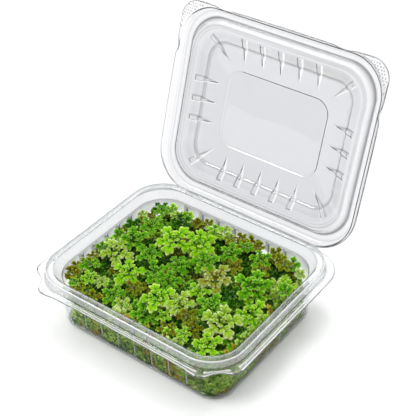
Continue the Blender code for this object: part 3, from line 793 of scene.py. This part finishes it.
class Bunch:
    """Collects fronds into one mesh."""

    def __init__(self):
        self.points, self.uvs, self.faces, self.count = [], [], [], 0

    def add(self, points, uvs, faces):
        self.faces += [[i + self.count for i in q] for q in faces]
        self.points.append(points)
        self.uvs.append(uvs)
        self.count += len(points)

    def piece(self, name, material):
        points, uvs = np.concatenate(self.points), np.concatenate(self.uvs)
        return new_piece(name, points, self.faces, material, uvs)


def rosette(bunch, centre, reach, fine, tilt, normal):
    """A whorl of fronds, with smaller ones in its heart. Its face looks along the normal."""
    whorl = chance.choice((5, 5, 5, 6)) if fine else chance.choice((4, 5))
    spin = chance.uniform(0, 2 * math.pi)
    for index in range(whorl):
        angle = spin + 2 * math.pi * (index + chance.uniform(-0.12, 0.12)) / whorl
        length = reach * chance.uniform(0.86, 1.06)
        points, uvs, faces = frond(length, fine, chance.uniform(0.25, 0.4), chance.uniform(0.3, 0.5))
        points = turned(points, angle, tilt + chance.uniform(-0.12, 0.15), chance.uniform(-0.2, 0.2))
        bunch.add(settle(points, centre, normal), uvs, faces)
    for index in range(3 if fine else 1):
        angle = spin + 2 * math.pi * (index + 0.5 + chance.uniform(-0.2, 0.2)) / 3
        points, uvs, faces = frond(reach * chance.uniform(0.36, 0.5), fine, 0.45, 0.4)
        points = turned(points, angle, tilt + chance.uniform(0.3, 0.6), chance.uniform(-0.3, 0.3))
        bunch.add(settle(points, centre, normal), uvs, faces)


def settle(points, centre, normal):
    """Turn points to a normal, move them to a centre, and keep them under the shut lid."""
    turn = Vector((0, 0, 1)).rotation_difference(Vector(normal)).to_matrix()
    points = points @ np.array(turn).T + np.asarray(centre, float)
    over_x = np.abs(points[:, 0]) - (RIM_WIDTH / 2 - ROOF_INSET)
    over_y = np.abs(points[:, 1]) - (RIM_DEPTH / 2 - ROOF_INSET)
    roof = ROOF - ROOF_DROP * np.clip(np.maximum(over_x, over_y) / ROOF_FALL, 0.0, 1.0)
    high = points[:, 2] - (roof - ROOF_EASE)
    eased = roof - ROOF_EASE + ROOF_EASE * (1 - np.exp(-high / ROOF_EASE))
    points[:, 2] = np.where(high > 0, eased, points[:, 2])
    points[:, 2] = np.maximum(points[:, 2], LOWEST + 0.1 * (points[:, 2] + 2.0))
    return press(points)


def press(points):
    """Press what would pass the tray's wall against it, and keep the order of the layers."""
    inset = np.interp(points[:, 2], *WALL_INSIDE)
    radius = np.interp(points[:, 2], *WALL_CORNERS)
    core = np.stack([RIM_WIDTH / 2 - inset - radius, RIM_DEPTH / 2 - inset - radius], axis=1)
    nearest = np.clip(points[:, :2], -core, core)
    off = points[:, :2] - nearest
    far = np.hypot(*off.T)
    over = np.maximum(far - (radius - PRESS_EASE), 0.0)
    kept = np.where(over > 0, radius - PRESS_EASE * np.exp(-over / PRESS_EASE), far)
    points[:, :2] = nearest + off * (kept / np.maximum(far, 1e-6))[:, None]
    return points


def leaning(amount, spread):
    """A direction that leans to the open front, with some scatter."""
    away = chance.uniform(0, 2 * math.pi)
    off = chance.uniform(0, spread)
    lean = (amount * 0.6 + off * math.cos(away), -amount * 0.8 + off * math.sin(away), 1.0)
    return Vector(lean).normalized()


def inside(x, y):
    """How far a point is inside the tray's wall."""
    over_x = abs(x) - (RIM_WIDTH / 2 - WALL_INSET - WALL_RADIUS)
    over_y = abs(y) - (RIM_DEPTH / 2 - WALL_INSET - WALL_RADIUS)
    outside = math.hypot(max(over_x, 0.0), max(over_y, 0.0))
    return WALL_RADIUS - outside - min(max(over_x, over_y), 0.0)


def bed_height(x, y):
    """The bed's upper face, without its fine lumps."""
    lump = noise.noise(Vector((x * 0.09, y * 0.09, 3.0)))
    edge = max(0.0, 1.0 - inside(x, y) / 8.0)
    return BED_TOP + 2.0 * lump - 2.0 * edge * edge


def build_bed(material):
    """The dark mass of stems and roots under the plants."""
    rows = []
    for inset, height, radius in BED_SIDES:
        points, normals, _, _ = ring(inset, radius, BED_STATIONS)
        level = height * 0.3
        push = np.array([noise.noise(Vector((x * 0.25, y * 0.25, level))) for x, y in points])
        points = points + normals * (push[:, None] * 0.9 - 0.5)
        rows.append(np.column_stack([points, np.full(len(points), height)]))
    for inset in BED_INSETS:
        points, _, _, _ = ring(inset, max(17.0 - inset * 0.25, 4.0), BED_STATIONS)
        lumps = [noise.noise(Vector((x * 0.5, y * 0.5, 0))) for x, y in points]
        heights = [bed_height(x, y) + 0.9 * lump for (x, y), lump in zip(points, lumps)]
        rows.append(np.column_stack([points, heights]))
    grid = np.stack(rows)
    count = grid.shape[1]
    faces = strip_faces(len(rows), count, wrap=True)
    faces.append(list(range(count))[::-1])
    faces.append([(len(rows) - 1) * count + i for i in range(count)])
    return new_piece("fern_bed", grid.reshape(-1, 3), faces, material)


def build_plants(leaves):
    """A detailed rosette in place of each plant of the part."""
    slots = {item["node"]: item["material_slot"] for item in frame["record"]["subparts"]}
    for node in sorted(frame["nodes"]):
        if not node.startswith("fern_plant"):
            continue
        low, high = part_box(node)
        centre = np.array([(low[0] + high[0]) / 2, (low[1] + high[1]) / 2, high[2]]) / MM
        reach = max(high[0] - low[0], high[1] - low[1]) / 2 / MM
        tone = slots[node].replace("fern_", "")
        bunch = Bunch()
        rosette(bunch, centre - (0, 0, PLANT_SINK), reach * PLANT_SPREAD, fine=True, tilt=0.12,
                normal=leaning(0.32, 0.16))
        piece = bunch.piece(node + "_fronds", leaves[tone])
        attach(piece, "tray")
        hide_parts(node)


def build_undergrowth(leaves):
    """Small plants that fill the space between and below the ones that stand out."""
    bunches = {tone: Bunch() for tone in UNDER_TONES}
    tries, spots = 0, []
    while len(spots) < UNDER_COUNT and tries < UNDER_TRIES:
        tries += 1
        x, y = (chance.uniform(-half, half) for half in UNDER_AREA)
        crowded = any((x - a) ** 2 + (y - b) ** 2 < UNDER_APART_SQUARED for a, b in spots)
        if inside(x, y) >= 2.5 and not crowded:
            spots.append((x, y))
    for x, y in spots:
        at_back = inside(x, y) < BACK_STRIP and (y > BACK_LINE or x < LEFT_LINE)
        tone = chance.choices(UNDER_TONES, BACK_WEIGHTS if at_back else UNDER_WEIGHTS)[0]
        height = bed_height(x, y) + chance.uniform(*(BACK_RISE if at_back else UNDER_RISE))
        reach = chance.uniform(*UNDER_REACH)
        rosette(bunches[tone], (x, y, height), reach, fine=at_back, tilt=0.7 if at_back else 0.25,
                normal=leaning(0.3, 0.2))
    for tone, bunch in bunches.items():
        piece = bunch.piece("fern_under_" + tone, leaves[tone])
        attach(piece, "tray")
        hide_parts("fern_mat")


def build_sides(leaves):
    """Plants pressed flat against the inside of the tray's walls."""
    bunches = {tone: Bunch() for tone in SIDE_TONES}
    for height in SIDE_HEIGHTS:
        inset, radius = (at_foot + height * rise for at_foot, rise in (SIDE_INSET, SIDE_RADIUS))
        points, normals, _, side = ring(inset, radius, BED_STATIONS)
        straight = (side > 0) & (np.roll(side, 3) > 0) & (np.roll(side, -3) > 0)
        steps = np.hypot(*(points - np.roll(points, 1, axis=0)).T)
        gap = 0.0
        for index in range(len(points)):
            gap -= steps[index]
            if gap > 0:
                continue
            gap = chance.uniform(*SIDE_APART)
            x, y = points[index] - normals[index] * chance.uniform(0.0, SIDE_GAP)
            tone = chance.choices(SIDE_TONES, SIDE_WEIGHTS)[0]
            normal = (*normals[index], chance.uniform(*SIDE_UPWARDS))
            reach = chance.uniform(*(SIDE_REACH if straight[index] else CORNER_REACH))
            spot = (x, y, height + chance.uniform(-SIDE_SCATTER, SIDE_SCATTER))
            rosette(bunches[tone], spot, reach, fine=False, tilt=-0.15, normal=normal)
    for tone, bunch in bunches.items():
        piece = bunch.piece("fern_" + tone, leaves[tone])
        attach(piece, "tray")
        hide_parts("fern_mat")


def build_drops():
    """Beads of clear water on the leaves."""
    around = DROP_CORNERS
    spokes = [2 * math.pi * k / around for k in range(around)]
    points, faces = [], []
    wetted = [(item, DROPS_ON_PLANT) for item in bpy.data.objects if item.name.endswith("_fronds")]
    wetted += [(item, DROPS_ON_UNDERGROWTH) for item in bpy.data.objects
               if item.name.startswith("fern_under_")]
    for piece, drops in wetted:
        mesh = piece.data
        spots = np.zeros(len(mesh.vertices) * 3)
        mesh.vertices.foreach_get("co", spots)
        spots = spots.reshape(-1, 3) / MM
        high = spots[spots[:, 2] > np.percentile(spots[:, 2], DROP_LOW_SHARE)]
        for _ in range(drops):
            x, y, z = high[chance.randrange(len(high))]
            radius = chance.uniform(*DROP_RADIUS)
            base = len(points)
            points.append((x, y, z + radius * DROP_FLATNESS))
            for share in DROP_RINGS:
                level = z + radius * (DROP_FLATNESS * math.sqrt(1 - share * share) - 0.05)
                out = radius * share
                points += [(x + out * math.cos(a), y + out * math.sin(a), level) for a in spokes]
            faces += [(base, base + 1 + k, base + 1 + (k + 1) % around) for k in range(around)]
            for row in range(len(DROP_RINGS) - 1):
                first = base + 1 + row * around
                for k in range(around):
                    here, after = first + k, first + (k + 1) % around
                    faces.append((here, here + around, after + around, after))
            last = base + 1 + (len(DROP_RINGS) - 1) * around
            faces.append(tuple(last + k for k in range(around))[::-1])
    values = {"Roughness": 0.03, "IOR": 1.5, "Transmission Weight": 0.85}
    beads = plain_material("water_beads", values, 700.0,
                           ((0.3, (0.90, 0.96, 0.90)), (0.7, (0.98, 1.0, 0.98))))
    water = new_piece("fern_water_drops", points, faces, beads)
    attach(water, "tray")


# ---- the box


def build_box():
    """Tray, lid, hinge web and the stippled tabs."""
    tray_wall = clear_plastic("tray_clear_wall", (0.78, 0.81, 0.785), 1.14)
    tray_clear = clear_plastic("tray_clear_rim", (0.79, 0.805, 0.82), 1.5)
    lid_clear = clear_plastic("lid_clear_sheet", (0.70, 0.705, 0.727), 1.5)
    lid_rim = clear_plastic("lid_clear_rim", (0.745, 0.752, 0.772), 1.5)
    outline = rounded(with_mirror([*TRAY_CORNER, *arc_points(*TRAY_BACK_CORNER, 0, 90)]))
    rings = soften(TRAY_PROFILE)
    rim_row = int(np.argmax(rings[:, 1] > TRAY_RIM_HEIGHT))
    grid, clear, highlight_haze = sheet_mesh(rings, TRAY_STATIONS, outline, TRAY_FLANGE, FLANGE_TOP,
                                   TRAY_TAB_CLEAR)
    tray = formed_sheet("tray_shell", grid, clear, highlight_haze, (tray_wall, tray_clear), rim_row, 1.0)
    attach(tray, "tray")
    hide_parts("tray")

    tab = arc_points(LID_TAB_CENTRE, LID_TAB_RADIUS, -90, 0)
    right = [*LID_CORNER_START, *tab, *LID_CORNER_END, *arc_points(*LID_BACK_CORNER, 0, 90)]
    outline = rounded(with_mirror(right))
    rings = soften(LID_PROFILE)
    rim_row = int(np.argmax(rings[:, 0] < LID_RIM_INSET))
    grid, clear, highlight_haze = sheet_mesh(rings, LID_STATIONS, outline, LID_LIP, LID_FLANGE, LID_TAB_CLEAR)
    flat = grid.reshape(-1, 3)
    depth, tone = fingers(flat[:, 0], flat[:, 1])
    flat[:, 2] -= depth
    # the finger ribs' painted light and shade go into how clear the lid is drawn
    clear += tone.reshape(clear.shape)
    shape = open_lid(flat).reshape(grid.shape)
    lid = formed_sheet("lid_shell", shape, clear, highlight_haze, (lid_clear, lid_rim), rim_row, -1.0)
    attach(lid, "lid")
    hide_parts("lid")
    build_web(tray_clear)
    build_stipple(lid_clear)


def build_web(material):
    """The living hinge: a thin web between the two flanges, with a groove along it."""
    columns, count = WEB_GRID
    x = np.linspace(-WEB_HALF, WEB_HALF, columns)
    start = np.array([HINGE_Y - WEB_START, FLANGE_TOP - SHEET / 2])
    end = open_lid([[0.0, HINGE_Y - WEB_START, LID_FLANGE + SHEET / 2]])[0, 1:]
    middle = np.array([HINGE_Y, HINGE_Z]) + WEB_FOLD
    rows = []
    for t in np.linspace(0.0, 1.0, count):
        spot = start * (1 - t) ** 2 + middle * 2 * t * (1 - t) + end * t ** 2
        rows.append(np.column_stack([x, np.tile(spot, (columns, 1))]))
    web = new_piece("hinge_web", np.concatenate(rows), strip_faces(count, columns), material,
                    np.tile((0.0, WEB_CLEAR), (count * columns, 1)))
    thicken(web, WEB_THICKNESS, 0.0)
    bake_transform(web)


def is_dotted(x, y):
    """Whether a dot belongs here on the shut lid's right tab: in its outline and off the bead."""
    off = math.hypot(x - LID_TAB_CENTRE[0], y - LID_TAB_CENTRE[1])
    (bead_x, bead_y), bead_radius = DOT_BEAD
    within = off < LID_TAB_RADIUS - DOT_MARGIN or x < LID_TAB_CENTRE[0] or y > LID_TAB_CENTRE[1]
    off_bead = math.hypot(x - bead_x, y - bead_y) > bead_radius
    return within and off_bead and x < DOT_SIDE and y > DOT_FRONT


def build_stipple(material):
    """Rows of small raised dots on the lid's finger tabs, each with painted shade on one side and painted
    light on the other.
    """
    points, faces, uvs = [], [], []
    spots = []
    for y in np.arange(*DOT_ROWS, DOT_STEP):
        for column in np.arange(*DOT_COLUMNS, DOT_STEP):
            x = column + (DOT_STEP / 2 if int(round(y / DOT_STEP)) % 2 else 0.0)
            if is_dotted(x, y):
                spots += [(x, y), (-x, y)]
    sides = DOT_SIDES
    for x, y in spots:
        base = len(points)
        for radius, height in DOT_RINGS:
            for k in range(sides):
                a = 2 * math.pi * k / sides
                level = LID_FLANGE - DOT_DEPTH - height
                points.append((x + radius * math.cos(a), y + radius * math.sin(a), level))
                # painted light on one side of each dot, painted shade on the other
                uvs.append((0.0, 0.5 + 0.5 * math.cos(a - math.radians(DOT_PAINTED_LIGHT_SIDE))))
        points.append((x, y, LID_FLANGE - DOT_HEIGHT))
        uvs.append((0.0, 0.8))
        for k in range(sides):
            n = (k + 1) % sides
            faces.append((base + k, base + n, base + sides + n, base + sides + k))
            faces.append((base + sides + k, base + sides + n, base + 2 * sides))
        faces.append(tuple(base + k for k in range(sides))[::-1])
    dots = new_piece("lid_stipple", open_lid(points), faces, material, uvs)
    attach(dots, "lid")


# ---- floor, light and camera


def build_stage():
    """A plain matt floor, and a studio as the world."""
    pale = plain_material("pale_floor", {"Roughness": 0.8, "Specular IOR Level": 0.2}, 3.0,
                          ((0.3, (0.90, 0.90, 0.905)), (0.7, 0.92)))
    far = 4000
    corners = [(-far, -far, -0.1), (far, -far, -0.1), (far, far, -0.1), (-far, far, -0.1)]
    floor = new_piece("floor", corners, [(0, 1, 2, 3)], pale, flat=True)
    world = bpy.data.worlds.new("studio")
    bpy.context.scene.world = world
    world.use_nodes = True
    paint_world(world.node_tree)


def paint_world(tree):
    """A studio round the object: bright overhead, grey half way down, with round lamps in it."""
    add, join = node_helpers(tree)
    place = add("ShaderNodeTexCoord")
    split = add("ShaderNodeSeparateXYZ")
    join(place, "Generated", split, "Vector")
    total, output = ramp(add, join, split, "Z", WORLD_RISE), "Color"
    for toward, width, strength in WORLD_LAMPS:
        near = add("ShaderNodeVectorMath", operation="DOT_PRODUCT")
        near.inputs[1].default_value = Vector(toward).normalized()
        join(place, "Generated", near, 0)
        edge = math.cos(math.radians(width))
        spot = add("ShaderNodeMapRange", **{"From Min": edge - LAMP_EDGE,
                                            "From Max": edge + LAMP_EDGE, "To Max": strength})
        join(near, "Value", spot, "Value")
        both = add("ShaderNodeMath")
        join(total, output, both, 0)
        join(spot, "Result", both, 1)
        total, output = both, "Value"
    background = tree.nodes["Background"]
    join(total, output, background, "Strength")
    background.inputs["Color"].default_value = (1.0, 1.0, 1.0, 1.0)


def build_camera():
    """The camera that took the photograph."""
    azimuth, elevation, roll = map(math.radians, (CAMERA_AZIMUTH, CAMERA_ELEVATION, CAMERA_ROLL))
    level = math.cos(elevation)
    back = Vector((math.sin(azimuth) * level, -math.cos(azimuth) * level, math.sin(elevation)))
    right = Vector((math.cos(azimuth), math.sin(azimuth), 0.0))
    up = back.cross(right)
    cosine, sine = math.cos(roll), math.sin(roll)
    right, up = right * cosine + up * sine, up * cosine - right * sine
    data = bpy.data.cameras.new("camera")
    data.lens = SENSOR * CAMERA_FOCUS_PIXELS / IMAGE_SIDE
    data.sensor_width = SENSOR
    data.clip_start = 0.01
    camera = bpy.data.objects.new("camera", data)
    spot = (Vector(CAMERA_TARGET) + back * CAMERA_DISTANCE) * MM
    camera.matrix_world = Matrix.Translation(spot) @ Matrix((right, up, back)).transposed().to_4x4()
    bpy.context.scene.collection.objects.link(camera)
    bpy.context.scene.camera = camera


def main():
    """Build every piece, the stage and the camera."""
    build_camera()
    build_stage()
    leaves = {tone: leaf("leaf_" + tone, *colours) for tone, colours in LEAF_TONES.items()}
    build_box()
    bed = build_bed(bed_material())
    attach(bed, "tray")
    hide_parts("fern_mat")
    build_plants(leaves)
    build_undergrowth(leaves)
    build_sides(leaves)
    build_drops()
    scene = bpy.context.scene
    scene.view_settings.view_transform = "Standard"
    scene.cycles.max_bounces = 16
    scene.cycles.transmission_bounces = 16
    scene.cycles.transparent_max_bounces = 24


main()
